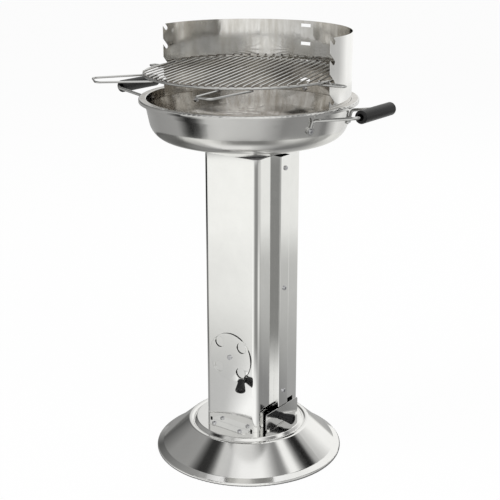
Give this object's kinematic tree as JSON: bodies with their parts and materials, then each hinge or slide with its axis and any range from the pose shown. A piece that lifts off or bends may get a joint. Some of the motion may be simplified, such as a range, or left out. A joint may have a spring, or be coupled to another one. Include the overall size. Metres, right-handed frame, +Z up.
{
  "type": "pedestal charcoal grill",
  "caption": "Round charcoal grill bowl with wind shield and lift-off grate on a box-shaped sheet-metal column and a round pressed foot.",
  "frame": {"origin": "on the floor, under the middle of the whole grill's box; the axis of bowl and foot stands 22.4 mm behind it", "axes": "+Z up, -Y towards the front with the air disc, +X towards the side that the ash drawer pulls out of"},
  "size_m": [0.484, 0.3948, 0.714],
  "materials": {
    "foot_steel": "mirror polished stainless steel",
    "column_steel": "bright stainless steel sheet with a fine grain",
    "disc_steel": "bright stainless steel sheet",
    "bowl_steel": "mirror polished stainless steel",
    "shield_steel": "mirror polished stainless steel sheet",
    "wire_steel": "bright drawn steel wire",
    "screw_steel": "zinc plated steel",
    "black_plastic": "black moulded phenolic plastic"
  },
  "bodies": {
    "grill_stand": {"foot": "foot_steel", "column_front_cover": "column_steel", "column_rear_shell": "column_steel", "side_strip_right": "column_steel", "side_strip_left": "column_steel", "column_top_plate": "column_steel", "drawer_rail_front": "column_steel", "drawer_rail_rear": "column_steel", "bowl": "bowl_steel", "wind_shield": "shield_steel", "handle_wire_right": "wire_steel", "handle_wire_left": "wire_steel", "foot_screws": "screw_steel", "foot_nuts": "screw_steel", "strip_screws_right": "screw_steel", "strip_nuts_right": "screw_steel", "strip_screws_left": "screw_steel", "strip_nuts_left": "screw_steel", "air_disc_rivet": "screw_steel", "air_disc_washer": "screw_steel", "bowl_bolts": "screw_steel", "bowl_nuts": "screw_steel", "shield_screws": "screw_steel", "shield_nuts": "screw_steel", "handle_screws": "screw_steel", "handle_nuts": "screw_steel"},
    "air_disc": {"air_disc": "disc_steel", "air_disc_knob": "black_plastic"},
    "ash_drawer": {"ash_drawer_tray": "column_steel", "ash_drawer_front": "column_steel", "ash_drawer_knob": "black_plastic", "ash_drawer_screw": "screw_steel"},
    "cooking_grate": {"grate_ring": "wire_steel", "grate_bars": "wire_steel", "grate_ear_right": "wire_steel", "grate_ear_left": "wire_steel", "grate_rear_hook": "wire_steel", "grate_loop_left": "wire_steel", "grate_loop_front": "wire_steel"},
    "fire_grate": {"fire_grate_ring": "wire_steel", "fire_grate_bars": "wire_steel"},
    "grip_right": {"handle_grip_right": "black_plastic"},
    "grip_left": {"handle_grip_left": "black_plastic"}
  },
  "joints": [
    {"name": "air_disc_turn", "type": "hinge", "parent": "grill_stand", "child": "air_disc", "pos_m": [0, -0.03079, 0.179], "axis": [0, -1, 0], "continuous": true},
    {"name": "ash_drawer_slide", "type": "slide", "parent": "grill_stand", "child": "ash_drawer", "axis": [1, 0, 0], "range_m": [-0.0085, 0.085]},
    {"name": "cooking_grate_lift", "type": "slide", "parent": "grill_stand", "child": "cooking_grate", "axis": [0, -0.7071, 0.7071], "range_m": [0, 0.12]},
    {"name": "fire_grate_lift", "type": "slide", "parent": "grill_stand", "child": "fire_grate", "axis": [0, 0, 1], "range_m": [0, 0.06]},
    {"name": "grip_right_spin", "type": "hinge", "parent": "grill_stand", "child": "grip_right", "pos_m": [0.232, 0.02241, 0.609], "axis": [0, 1, 0], "continuous": true},
    {"name": "grip_left_spin", "type": "hinge", "parent": "grill_stand", "child": "grip_left", "pos_m": [-0.232, 0.02241, 0.609], "axis": [0, 1, 0], "continuous": true}
  ]
}
